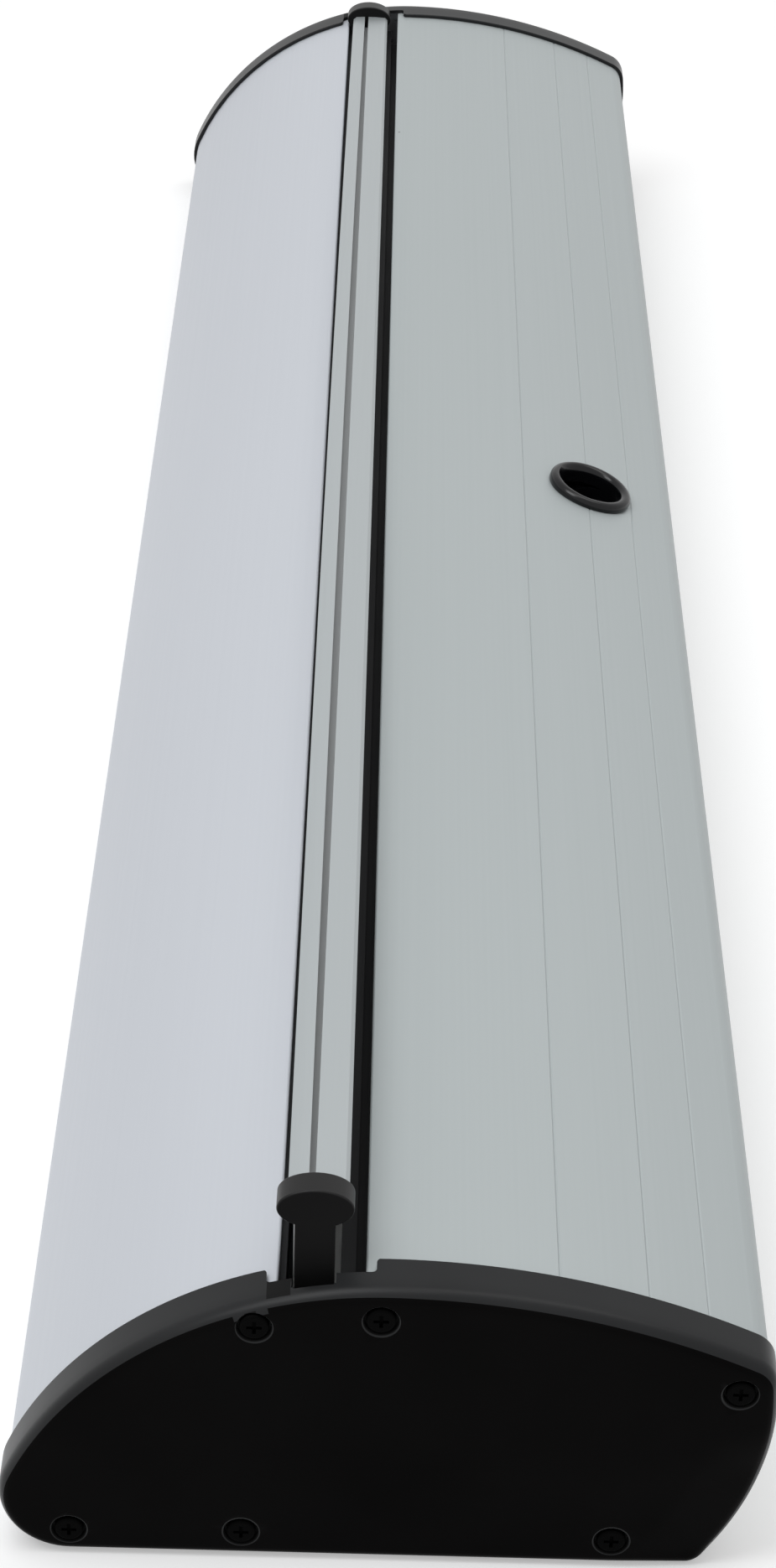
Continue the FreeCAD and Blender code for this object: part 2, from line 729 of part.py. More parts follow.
def roller_group():
    axis = {
        "x": "Sizes.slot_front_x + Sizes.film_offset + Sizes.roll_radius + Sizes.film_roll_gap",
        "z": "Sizes.crown_height * Sizes.roller_height_share",
    }
    half_tube = "(Sizes.visible_length / 2 - Sizes.tube_end_gap)"
    half_film = "(Sizes.visible_length / 2 - Sizes.film_end_gap)"
    inner = "(Sizes.tube_radius - Sizes.tube_wall)"
    bore = "Sizes.shaft_radius + Sizes.shaft_fit"
    ring_body("roller_tube", "Sizes.tube_radius", inner, f"2 * {half_tube}", y=f"-{half_tube}", **axis)
    ring_body("banner_roll", "Sizes.roll_radius", "Sizes.tube_radius + Sizes.roll_gap",
              f"2 * {half_film}", y=f"-{half_film}", **axis)
    spring_start = f"-{half_tube} + Sizes.plug_length"
    anchor_start = f"-{plate_out()} + Sizes.shaft_length - Sizes.anchor_length"
    ring_body("torsion_spring", "Sizes.hub_radius + Sizes.spring_fit + Sizes.spring_wall",
              "Sizes.hub_radius + Sizes.spring_fit",
              f"({anchor_start}) - ({spring_start}) - 2 * Sizes.spring_end_gap",
              y=f"{spring_start} + Sizes.spring_end_gap", **axis)
    ring_body("spring_anchor", f"{inner} - Sizes.anchor_gap", "Sizes.shaft_radius + Sizes.plug_fit",
              "Sizes.anchor_length", y=anchor_start, **axis)

    flange = cylinder("spring_plug_flange", "Sizes.tube_radius", "Sizes.plug_flange",
                      y=f"-{half_tube} - Sizes.plug_flange", **axis)
    body = cylinder("spring_plug_body", f"{inner} - Sizes.plug_fit",
                    "Sizes.plug_length + Sizes.plug_flange / 2",
                    y=f"-{half_tube} - Sizes.plug_flange / 2", **axis)
    hub = cylinder("spring_plug_hub", "Sizes.hub_radius", "Sizes.plug_length + Sizes.hub_length",
                   y=f"-{half_tube}", **axis)
    hole = cylinder("spring_plug_bore", bore, half_tube,
                    y=f"-{half_tube} - Sizes.plug_flange - Sizes.overrun", **axis)
    node(cut("spring_plug", fuse("spring_plug_blank", flange, body, hub), hole), "spring_plug")

    far_flange = cylinder("idler_plug_flange", "Sizes.tube_radius", "Sizes.plug_flange",
                          y=half_tube, **axis)
    far_body = cylinder("idler_plug_body", f"{inner} - Sizes.plug_fit",
                        "Sizes.plug_length + Sizes.plug_flange / 2",
                        y=f"{half_tube} - Sizes.plug_length", **axis)
    far_hole = cylinder("idler_plug_bore", bore, half_tube,
                        y=f"{half_tube} - Sizes.plug_length - Sizes.overrun", **axis)
    node(cut("idler_plug", fuse("idler_plug_blank", far_flange, far_body), far_hole), "idler_plug")

    shank = cylinder("idler_pin_shank", "Sizes.shaft_radius", "Sizes.pin_length",
                     y=f"{plate_out()} - Sizes.pin_length", **axis)
    head = cylinder("idler_pin_head", "Sizes.pin_head_radius", "Sizes.pin_head_height",
                    y=f"{plate_out()} - Sizes.plate_wall - Sizes.plate_gap - Sizes.pin_head_height", **axis)
    node(fuse("idler_pin", shank, head), "idler_pin")


def plate_out():
    return "(Sizes.visible_length / 2 + Sizes.cap_depth - Sizes.cap_face_wall - Sizes.plate_slack)"


def spring_shaft():
    """Fixed shaft from the near plate into the tube, with flats where the plate holds it."""
    flats_end = -PLATE_IN
    flats = bar(shaft_section(), -PLATE_OUT, flats_end)
    round_part = bar(disc(ROLLER_X, ROLLER_Z, size("shaft_radius")), flats_end + size("plate_gap"),
                     -PLATE_OUT + size("shaft_length"))
    link = bar(shaft_section(), flats_end, flats_end + 2 * size("plate_gap"))
    return flats.fuse(link).fuse(round_part).removeSplitter()


def retaining_clips():
    """Two spring clips that keep the roller between its plates."""
    x, z = ROLLER_X, ROLLER_Z
    start = HALF_VISIBLE - size("tube_end_gap") + size("plug_flange") + size("clip_gap")
    section = disc(x, z, size("clip_radius")).cut(disc(x, z, size("shaft_radius") + size("plug_fit")))
    mouth = rectangle(x - size("shaft_radius") / 2, z, x + size("shaft_radius") / 2, z + size("clip_radius"))
    clip = bar(section.cut(mouth), start, start + size("clip_wall"))
    return Part.makeCompound([clip, far_copy(clip)])


# Banner film between the roll and the rail

def banner_web():
    half, thick = HALF_VISIBLE - size("film_end_gap"), size("film_thickness")
    grip = RAIL_BASE + size("film_grip")
    corners = [Vector(0, -half, ROLLER_Z), Vector(0, half, ROLLER_Z)]
    for y in (half, -half):
        corners.append(LIFTED.multVec(Vector(0, y, grip)))
    face = Part.Face(Part.makePolygon(corners + corners[:1]))
    face.translate(Vector(FILM_X - thick / 2, 0, 0))
    return face.extrude(Vector(thick, 0, 0))


# Top rail, drawn level and then lifted at its near end

def front_bar():
    x0, x1, top = RAIL_FRONT, SPLIT_FRONT, RAIL_TOP
    inner = FILM_X - size("film_thickness") / 2 - size("film_slack")
    wall = size("front_bar_wall")
    return bar(polygon([
        (x0, RAIL_BASE),
        (inner, RAIL_BASE),
        (inner, top - size("rail_edge_drop") - wall / 2),
        (x1, top - wall),
        (x1, top),
        (x0 + size("rail_edge_width"), top - size("rail_crown_drop")),
        (x0, top - size("rail_edge_drop")),
    ]), -HEAD_IN, HEAD_IN)


def rear_bar():
    x1, top, base, split = RAIL_REAR, RAIL_TOP, RAIL_BASE, SPLIT_REAR
    tongue_x = FILM_X + size("film_thickness") / 2 + size("film_slack")
    step_x = split - size("step_width")
    section = polygon([
        (tongue_x, base),
        (x1, base),
        (x1, top - size("rail_edge_drop")),
        (x1 - size("rail_bevel_width"), top - size("rail_crown_drop")),
        (x1 - size("rail_ridge_inset"), top),
        (split, top),
        (split, base + size("step_height")),
        (step_x, base + size("step_height")),
        (step_x, base + size("tongue_height")),
        (tongue_x, base + size("tongue_height")),
    ])
    return bar(section.cut(rectangle(*rail_hollow())), -HEAD_IN, HEAD_IN)


def rail_hollow(gap=0):
    """Corners of the rear bar's hollow, drawn in by the gap."""
    wall = size("hollow_wall") + gap
    return (SPLIT_REAR + wall, RAIL_BASE + wall,
            RAIL_REAR - wall, RAIL_TOP - wall - size("rail_crown_drop"))


def near_head():
    """Keyhole-shaped head: an oval over a flat stem with a rounded toe, and a tang in the rail."""
    x, z, deep = HEAD_X, HEAD_Z, size("head_thickness")
    oval = Part.Ellipse(flat(0, 0), size("head_half_width"), size("head_half_height"))
    face = Part.Face(Part.Wire(oval.toShape()))
    face.rotate(Vector(), Vector(1, 0, 0), 90)
    head = bar(face.translated(flat(x, z)), -HEAD_OUT, -HEAD_IN)
    rims = [edge for edge in head.Edges if edge.Closed and edge.BoundBox.YLength < size("joint_gap")]
    head = head.makeFillet(size("head_round"), rims)
    toe_z = PIVOT.z
    stem = bar(rectangle(STEM_FRONT, toe_z, STEM_REAR, z), -HEAD_OUT, -HEAD_IN)
    toe = Part.makeCylinder(deep / 2, size("stem_width"), Vector(STEM_FRONT, -HEAD_IN - deep / 2, toe_z),
                            Vector(1, 0, 0))
    tang = bar(rectangle(*rail_hollow(size("tang_gap"))), -HEAD_IN - deep / 2, -HEAD_IN + size("tang_length"))
    return head.fuse(stem).fuse(toe).fuse(tang).removeSplitter()


# Build

front = front_shell()
rear = rear_shell()
cap = near_end_cap()
cap_screws = near_cap_screws()
round_hole = disc(ROLLER_X, ROLLER_Z, size("shaft_radius") + size("plug_fit"))
head = near_head()
head_far = far_copy(head)

feature("rear_shell", rear)
feature("front_shell", front)
feature("near_end_cap", cap)
feature("far_end_cap", far_copy(cap))
feature("near_end_plate", end_plate(shaft_section(size("plug_fit"))))
feature("far_end_plate", far_copy(end_plate(round_hole)))
feature("near_cap_screws", cap_screws)
feature("far_cap_screws", far_copy(cap_screws))
feature("pole_grommet", pole_grommet(rear))
pole_socket_tube()
feature("pole_foot", pole_foot())
feature("pole_foot_screws", pole_foot_screws())
feature("front_slot_guide", front_slot_guide())
feature("rear_slot_guide", rear_slot_guide())
roller_group()
feature("spring_shaft", spring_shaft())
feature("retaining_clips", retaining_clips())
feature("banner_web", banner_web())
feature("rail_front_bar", front_bar(), LIFTED)
feature("rail_rear_bar", rear_bar(), LIFTED)
feature("rail_near_head", head, LIFTED)
feature("rail_far_head", head_far, LIFTED)

doc.recompute()
for item in doc.Objects:
    if {"Invalid", "Error"} & set(item.State):
        raise RuntimeError(f"{item.Label} did not compute: {item.State}")
os.makedirs("parts", exist_ok=True)
for item in NODES:
    if item.Shape.isNull() or not item.Shape.isValid() or not item.Shape.Solids:
        raise RuntimeError(f"{item.Label} has no sound solid")
    item.Shape.exportStep(f"parts/{item.Label}.step")
    print(f"{item.Label}: {len(item.Shape.Solids)} solids, {item.Shape.Volume / 1000:.2f} cm3")
print(f"tilt {TILT:.3f} degrees, pivot {PIVOT}")
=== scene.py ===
import math

import bmesh
import bpy
from mathutils import Matrix, Vector

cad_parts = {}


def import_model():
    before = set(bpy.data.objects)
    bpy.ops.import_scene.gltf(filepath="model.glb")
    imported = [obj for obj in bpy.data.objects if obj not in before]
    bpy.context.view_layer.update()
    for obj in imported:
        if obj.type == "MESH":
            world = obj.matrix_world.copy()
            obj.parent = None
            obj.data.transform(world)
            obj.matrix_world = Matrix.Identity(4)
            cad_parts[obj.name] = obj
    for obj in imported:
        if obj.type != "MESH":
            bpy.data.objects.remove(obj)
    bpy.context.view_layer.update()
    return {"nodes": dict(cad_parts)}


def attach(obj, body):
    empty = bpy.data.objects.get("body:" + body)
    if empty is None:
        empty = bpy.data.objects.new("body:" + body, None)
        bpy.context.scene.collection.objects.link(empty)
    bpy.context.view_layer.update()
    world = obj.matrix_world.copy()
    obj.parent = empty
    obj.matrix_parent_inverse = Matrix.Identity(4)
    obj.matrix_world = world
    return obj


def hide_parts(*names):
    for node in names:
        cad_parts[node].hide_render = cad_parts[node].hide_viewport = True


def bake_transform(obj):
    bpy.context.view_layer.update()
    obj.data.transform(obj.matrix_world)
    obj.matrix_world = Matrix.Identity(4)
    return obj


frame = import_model()
nodes = frame["nodes"]

MM = 0.001

# Cassette outline in the XZ plane, in millimetres: circle centres and radii of the section
CROWN = 88.8
HALF = 98.0
TOE_R, SHOULDER_R, HEEL_R = 18.0, 9.0, 6.0
FRONT_R = ((HALF - TOE_R) ** 2 / (CROWN - 2 * TOE_R) + CROWN) / 2
REAR_R = 213.5
SIDE_R = 88.0
FRONT_C = (0.0, CROWN - FRONT_R)
REAR_C = (0.0, CROWN - REAR_R)
SIDE_C = (HALF - SIDE_R, 52.0)

# Places along the cassette
SKIRT_Y = 435.0
CAP_FACE_Y = 449.5
CAP_FLOOR_Y = 445.9

# Notch in each cap for the rail's head, and the pocket and the seat in its floor
NOTCH_X = (-30.4, -3.2)
NOTCH_Y = 440.3
NOTCH_FLOOR_Z = 38.0
NOTCH_CORNER, MOUTH_CORNER, POCKET_CORNER = 1.2, 1.6, 0.5
POCKET_X = (-24.1, -13.1)
POCKET_Y = 444.4
SEAT_Y = 431.0
SEAT_Z = (50.0, 53.0)
SEAT_EDGE = 0.3
CUTTER_TOP_Z = 100.0
CUTTER_SPARE = 5.0

# Top rail, written level and then tilted about the far head's toe
PIVOT = Vector((0, 435.0, 57.05)) * MM
TILT = math.asin(19.0 / 870.0)
LIFTED = Matrix.Translation(PIVOT) @ Matrix.Rotation(-TILT, 4, "X") @ Matrix.Translation(-PIVOT)
BAR_END = 431.0


# Small helpers

def clamp(value, low=0.0, high=1.0):
    return max(low, min(high, value))


def ease(value):
    value = clamp(value)
    return value * value * (3 - 2 * value)


def new_object(name, data):
    obj = bpy.data.objects.new(name, data)
    bpy.context.scene.collection.objects.link(obj)
    return obj


def from_bmesh(name, bm, sharp=32.0):
    bmesh.ops.recalc_face_normals(bm, faces=bm.faces)
    mesh = bpy.data.meshes.new(name)
    bm.to_mesh(mesh)
    bm.free()
    smooth(mesh, sharp)
    return new_object(name, mesh)


def smooth(mesh, sharp):
    mesh.shade_smooth()
    mesh.set_sharp_from_angle(angle=math.radians(sharp))


def apply_modifiers(obj):
    graph = bpy.context.evaluated_depsgraph_get()
    mesh = bpy.data.meshes.new_from_object(obj.evaluated_get(graph))
    obj.modifiers.clear()
    old = obj.data
    obj.data = mesh
    bpy.data.meshes.remove(old)


def loft(bm, rings, around=False):
    """Quads between rings of equal length; the end rings are filled, or joined when it goes around."""
    made = [[bm.verts.new(Vector(point) * MM) for point in ring] for ring in rings]
    count = len(made[0])
    following = made[1:] + made[:1] if around else made[1:]
    for first, second in zip(made, following):
        for i in range(count):
            j = (i + 1) % count
            bm.faces.new((first[i], first[j], second[j], second[i]))
    if not around:
        bm.faces.new(made[0][::-1])
        bm.faces.new(made[-1])


def subtract(obj, cutters):
    for number, cutter in enumerate(cutters):
        modifier = obj.modifiers.new(f"cut{number}", "BOOLEAN")
        modifier.operation = "DIFFERENCE"
        modifier.solver = "EXACT"
        modifier.object = cutter
    apply_modifiers(obj)
    for cutter in cutters:
        mesh = cutter.data
        bpy.data.objects.remove(cutter)
        bpy.data.meshes.remove(mesh)


# Outline

def circle_meet(c1, r1, c2, r2, pick):
    """The crossing of two circles with the largest value of pick."""
    dx, dz = c2[0] - c1[0], c2[1] - c1[1]
    gap = math.hypot(dx, dz)
    along = (r1 * r1 - r2 * r2 + gap * gap) / (2 * gap)
    off = math.sqrt(r1 * r1 - along * along)
    x, z = c1[0] + dx * along / gap, c1[1] + dz * along / gap
    both = [(x + side * dz * off / gap, z - side * dx * off / gap) for side in (1, -1)]
    return max(both, key=pick)


def angle_to(centre, point):
    return math.atan2(point[1] - centre[1], point[0] - centre[0])


TOE_C = (TOE_R - HALF, TOE_R)
SHOULDER_C = circle_meet(REAR_C, REAR_R - SHOULDER_R, SIDE_C, SIDE_R - SHOULDER_R, lambda p: p[0])
HEEL_C = (SIDE_C[0] + math.sqrt((SIDE_R - HEEL_R) ** 2 - (SIDE_C[1] - HEEL_R) ** 2), HEEL_R)
ARCS = [
    (TOE_C, TOE_R, -math.pi / 2, angle_to(FRONT_C, TOE_C) - 2 * math.pi, 20),
    (FRONT_C, FRONT_R, angle_to(FRONT_C, TOE_C), math.pi / 2, 40),
    (REAR_C, REAR_R, math.pi / 2, angle_to(REAR_C, SHOULDER_C), 34),
    (SHOULDER_C, SHOULDER_R, angle_to(REAR_C, SHOULDER_C), angle_to(SIDE_C, SHOULDER_C), 12),
    (SIDE_C, SIDE_R, angle_to(SIDE_C, SHOULDER_C), angle_to(SIDE_C, HEEL_C), 22),
    (HEEL_C, HEEL_R, angle_to(SIDE_C, HEEL_C), -math.pi / 2, 10),
]


def section(inset=0.0):
    """Points of the outline drawn in by the inset, clockwise from the toe's floor point."""
    points = []
    for centre, radius, start, end, steps in ARCS:
        for i in range(steps):
            angle = start + (end - start) * i / steps
            r = radius - inset
            points.append((centre[0] + r * math.cos(angle), centre[1] + r * math.sin(angle)))
    points.append((HEEL_C[0], inset))
    floor_steps = 40
    for i in range(1, floor_steps):
        x = HEEL_C[0] + (TOE_C[0] - HEEL_C[0]) * i / floor_steps
        points.append((x, inset))
    return points


# Materials

def node_tree(name):
    material = bpy.data.materials.new(name)
    material.use_nodes = True
    tree = material.node_tree
    return material, tree, tree.nodes["Principled BSDF"]


def add(tree, kind, links=(), **settings):
    node = tree.nodes.new(kind)
    for key, value in settings.items():
        if key in node.inputs:
            node.inputs[key].default_value = value
        else:
            setattr(node, key, value)
    for socket, source in links:
        tree.links.new(source, node.inputs[socket])
    return node


def field(tree, stretch, scale, detail=3.0):
    """Noise in object space, stretched by the three factors."""
    coords = add(tree, "ShaderNodeTexCoord").outputs["Object"]
    mapping = add(tree, "ShaderNodeMapping", [("Vector", coords)], Scale=stretch)
    return add(tree, "ShaderNodeTexNoise", [("Vector", mapping.outputs[0])], Scale=scale,
               Detail=detail).outputs["Fac"]


def ranged(tree, source, low, high, from_low=0.3, from_high=0.7):
    made = add(tree, "ShaderNodeMapRange", [("Value", source)])
    for slot, value in zip((1, 2, 3, 4), (from_low, from_high, low, high)):
        made.inputs[slot].default_value = value
    return made.outputs[0]


def blended(tree, factor, first, second, mode="MIX"):
    made = add(tree, "ShaderNodeMix", data_type="RGBA", blend_type=mode)
    tree.links.new(factor, made.inputs["Factor"])
    for slot, value in ((6, first), (7, second)):
        if isinstance(value, tuple):
            made.inputs[slot].default_value = (*value, 1)
        else:
            tree.links.new(value, made.inputs[slot])
    return made.outputs[2]


def bump(tree, shader, height, strength, distance):
    made = add(tree, "ShaderNodeBump", [("Height", height)], Strength=strength, Distance=distance)
    tree.links.new(made.outputs[0], shader.inputs["Normal"])


def anodised(name, colour, roughness, metallic=0.25, specks=0.0):
    """Satin anodised extrusion: fine draw lines along its length and a slight drift of tone."""
    material, tree, shader = node_tree(name)
    lines = field(tree, (900, 3, 900), 1.0, 2.0)
    drift = field(tree, (6, 2.2, 6), 1.0, 2.0)
    grain = field(tree, (1, 1, 1), 2600, 1.0)
    light = tuple(clamp(c * 1.012) for c in colour)
    dark = tuple(c * 0.985 for c in colour)
    base = blended(tree, ranged(tree, drift, 0, 1), dark, light)
    lined = blended(tree, ranged(tree, lines, 0, 0.3), base, tuple(c * 0.97 for c in colour))
    if specks:
        coords = add(tree, "ShaderNodeTexCoord").outputs["Object"]
        cells = add(tree, "ShaderNodeTexVoronoi", [("Vector", coords)], Scale=26.0)
        near = ranged(tree, cells.outputs["Distance"], 1, 0, 0.010, 0.016)
        chosen = ranged(tree, cells.outputs["Color"], 0, 1, 0.62, 0.64)
        spot = add(tree, "ShaderNodeMath", operation="MULTIPLY")
        tree.links.new(near, spot.inputs[0])
        tree.links.new(chosen, spot.inputs[1])
        weight = add(tree, "ShaderNodeMath", operation="MULTIPLY")
        tree.links.new(spot.outputs[0], weight.inputs[0])
        weight.inputs[1].default_value = specks
        lined = blended(tree, weight.outputs[0], lined, (0.12, 0.12, 0.12))
    tree.links.new(lined, shader.inputs["Base Color"])
    tree.links.new(ranged(tree, lines, roughness - 0.015, roughness + 0.02), shader.inputs["Roughness"])
    shader.inputs["Metallic"].default_value = metallic
    mixed = add(tree, "ShaderNodeMath", operation="ADD")
    tree.links.new(lines, mixed.inputs[0])
    tree.links.new(grain, mixed.inputs[1])
    bump(tree, shader, mixed.outputs[0], 0.03, 0.00004)
    return material


def by_end(tree, along, across):
    """One value on surfaces that face along the cassette, the other elsewhere."""
    normal = add(tree, "ShaderNodeTexCoord").outputs["Normal"]
    parts = add(tree, "ShaderNodeSeparateXYZ", [("Vector", normal)])
    size = add(tree, "ShaderNodeMath", operation="ABSOLUTE")
    tree.links.new(parts.outputs["Y"], size.inputs[0])
    return ranged(tree, size.outputs[0], across, along, 0.75, 0.92)


def moulded(name, colour, roughness, grain_scale=1500, strength=0.12, specular=0.5, coat=0.0,
            end_specular=None):
    """Moulded plastic: a fine spark-erosion grain and slightly uneven gloss."""
    material, tree, shader = node_tree(name)
    grain = field(tree, (1, 1, 1), grain_scale, 2.0)
    uneven = field(tree, (1, 1, 1), 22, 3.0)
    lighter = tuple(c * 1.25 + 0.001 for c in colour)
    tree.links.new(blended(tree, ranged(tree, uneven, 0, 1), colour, lighter), shader.inputs["Base Color"])
    tree.links.new(ranged(tree, uneven, roughness - 0.03, roughness + 0.05), shader.inputs["Roughness"])
    if end_specular is None:
        shader.inputs["Specular IOR Level"].default_value = specular
    else:
        # end_specular paints shade: less sheen on the faces that look along the cassette
        tree.links.new(by_end(tree, end_specular, specular), shader.inputs["Specular IOR Level"])
    if coat:
        shader.inputs["Coat Weight"].default_value = coat
        shader.inputs["Coat Roughness"].default_value = 0.12
    bump(tree, shader, grain, strength, 0.00005)
    return material


def steel(name, colour, roughness, stretch=(300, 300, 300), metallic=1.0):
    """Drawn or plated steel with a streaked sheen."""
    material, tree, shader = node_tree(name)
    streak = field(tree, stretch, 1.0, 3.0)
    patches = field(tree, (40, 40, 40), 1.0, 3.0)
    dark = tuple(c * 0.8 for c in colour)
    tree.links.new(blended(tree, ranged(tree, patches, 0, 1), dark, colour), shader.inputs["Base Color"])
    tree.links.new(ranged(tree, streak, roughness - 0.06, roughness + 0.1), shader.inputs["Roughness"])
    shader.inputs["Metallic"].default_value = metallic
    bump(tree, shader, streak, 0.1, 0.00005)
    return material


def film_look(name, colour):
    """Matt banner film with a faint woven back."""
    material, tree, shader = node_tree(name)
    coords = add(tree, "ShaderNodeTexCoord").outputs["Object"]
    weave = []
    for axis in ("Y", "Z"):
        wave = add(tree, "ShaderNodeTexWave", [("Vector", coords)], Scale=700.0, Distortion=0.3)
        wave.bands_direction = axis
        weave.append(wave.outputs["Fac"])
    both = add(tree, "ShaderNodeMath", operation="MULTIPLY")
    tree.links.new(weave[0], both.inputs[0])
    tree.links.new(weave[1], both.inputs[1])
    drift = field(tree, (3, 3, 3), 1.0, 2.0)
    tree.links.new(blended(tree, ranged(tree, drift, 0, 1), colour, tuple(c * 0.96 for c in colour)),
                   shader.inputs["Base Color"])
    tree.links.new(ranged(tree, drift, 0.5, 0.62), shader.inputs["Roughness"])
    shader.inputs["Specular IOR Level"].default_value = 0.3
    bump(tree, shader, both.outputs[0], 0.06, 0.00005)
    return material


# The shells are one anodised aluminium: the front shell's lighter, bluer colour is painted light and the
# rear shell's darker colour is painted shade.
FRONT_METAL_LIT = anodised("front_anodised_lit", (0.60, 0.625, 0.67), 0.5)
REAR_METAL_SHADED = anodised("rear_anodised_shaded", (0.435, 0.473, 0.478), 0.5, specks=0.8)
RAIL_METAL = anodised("rail_anodised", (0.435, 0.467, 0.477), 0.42, 0.4)
# Lighter, less metallic copy of the rail's aluminium for the faces inside the groove: painted light in the
# shaded groove.
GROOVE_PAINTED_LIGHT = anodised("rail_groove_painted_light", (0.48, 0.495, 0.5), 0.55, 0.2)
# Much darker, almost sheenless copy of the cap's black for its outward face: painted shade.
CAP_FACE = moulded("cap_face_painted_shade", (0.0022, 0.002, 0.002), 0.24, 1400, 0.03, 0.02)
CAP_BLACK = moulded("cap_black", (0.0155, 0.016, 0.0168), 0.3, 1400, 0.05, 0.13)
# Near-black, dull copy of the cap's black for the notch, the pocket and the sinks: painted shade in the
# recesses.
CAP_RECESS_SHADE = moulded("cap_recess_painted_shade", (0.004, 0.004, 0.004), 0.6, 900, 0.2, 0.1)
# The head's end faces get almost no sheen: painted shade on the faces that look along the cassette.
HEAD_BLACK = moulded("head_black", (0.012, 0.0118, 0.012), 0.34, 1400, 0.08, 0.16, end_specular=0.01)
RUBBER = moulded("grommet_rubber", (0.0035, 0.0037, 0.0045), 0.2, 900, 0.03, 0.2, 0.16)
GUIDE_GREY = moulded("guide_grey", (0.021, 0.021, 0.0225), 0.5, 1200, 0.12, 0.12)
PLUG_BLACK = moulded("plug_black", (0.02, 0.02, 0.02), 0.5, 900, 0.2)
FOOT_BLACK = moulded("foot_black", (0.012, 0.012, 0.012), 0.5, 900, 0.25)
ZINC = steel("zinc_plate", (0.55, 0.56, 0.58), 0.32)
# The screws are black; their near-zero colour and sheen are also painted shade at the bottom of the sinks.
SCREW_BLACK_SHADE = moulded("black_screw_painted_shade", (0.0012, 0.0012, 0.0012), 0.55, 2000, 0.1, 0.02)
BRIGHT = steel("bright_steel", (0.5, 0.51, 0.53), 0.26, (700, 6, 700))
DULL_TUBE = steel("socket_steel", (0.16, 0.16, 0.17), 0.42, (300, 300, 12), 0.8)
MILL_TUBE = steel("mill_aluminium", (0.7, 0.71, 0.73), 0.36, (500, 4, 500))
FILM = film_look("banner_film", (0.84, 0.84, 0.83))

LOOKS = {
    "rear_shell": REAR_METAL_SHADED, "front_shell": FRONT_METAL_LIT,
    "near_end_cap": CAP_BLACK, "far_end_cap": CAP_BLACK,
    "near_end_plate": ZINC, "far_end_plate": ZINC,
    "near_cap_screws": SCREW_BLACK_SHADE, "far_cap_screws": SCREW_BLACK_SHADE,
    "pole_grommet": RUBBER, "pole_socket_tube": DULL_TUBE, "pole_foot": FOOT_BLACK,
    "pole_foot_screws": BRIGHT, "front_slot_guide": GUIDE_GREY, "rear_slot_guide": GUIDE_GREY,
    "spring_shaft": BRIGHT, "spring_anchor": PLUG_BLACK, "idler_pin": BRIGHT, "retaining_clips": BRIGHT,
    "roller_tube": MILL_TUBE, "banner_roll": FILM, "torsion_spring": BRIGHT,
    "spring_plug": PLUG_BLACK, "idler_plug": PLUG_BLACK, "banner_web": FILM,
    "rail_front_bar": RAIL_METAL, "rail_rear_bar": RAIL_METAL,
    "rail_near_head": HEAD_BLACK, "rail_far_head": HEAD_BLACK,
}


def paint(obj, material):
    slots = obj.data.materials
    if len(slots):
        for number in range(len(slots)):
            obj.material_slots[number].material = material
    else:
        slots.append(material)


for name, obj in nodes.items():
    paint(obj, LOOKS[name])


# End caps: skirt, rounded edge, gently crowned face with a broad bevel at the rear side

SCREWS = [(-33.0, 77.2), (-1.8, 80.2), (88.0, 59.5), (-80.0, 8.2), (-36.0, 8.8), (58.7, 8.8)]
SKIRT_WALL, SKIRT_CHAMFER = 1.35, 0.3
EDGE_IN, EDGE_DEEP = 3.4, 4.4
FACE_CROWN = 0.5
FACE_CENTRE_HALF, FACE_CENTRE_Z = 52.0, 34.0
BEVEL_WIDTH, BEVEL_DEPTH = 17.0, 1.7
# where the painted shade changes: sinks, their rims, the notch's inside and the face
SINK_R, SINK_RIM_R, RIM_TURN = 4.45, 5.6, 0.985
SINK_FROM_Y, FACE_FROM_Y, FACE_TURN = 440.0, 444.0, 0.8
INSIDE_X, INSIDE_Y, INSIDE_Z = (-30.0, -3.5), 446.0, (38.5, 86.0)


def face_depth(x, z, share):
    """How far the face stands back from its foremost plane."""
    back = FACE_CROWN * (1 - share) ** 2
    to_side = SIDE_R - math.hypot(x - SIDE_C[0], z - SIDE_C[1])
    window = ease((z + 4) / 10) * ease((47 - z) / 16) * ease((x - 40) / 20)
    return back + BEVEL_DEPTH * window * clamp((BEVEL_WIDTH - to_side) / BEVEL_WIDTH)


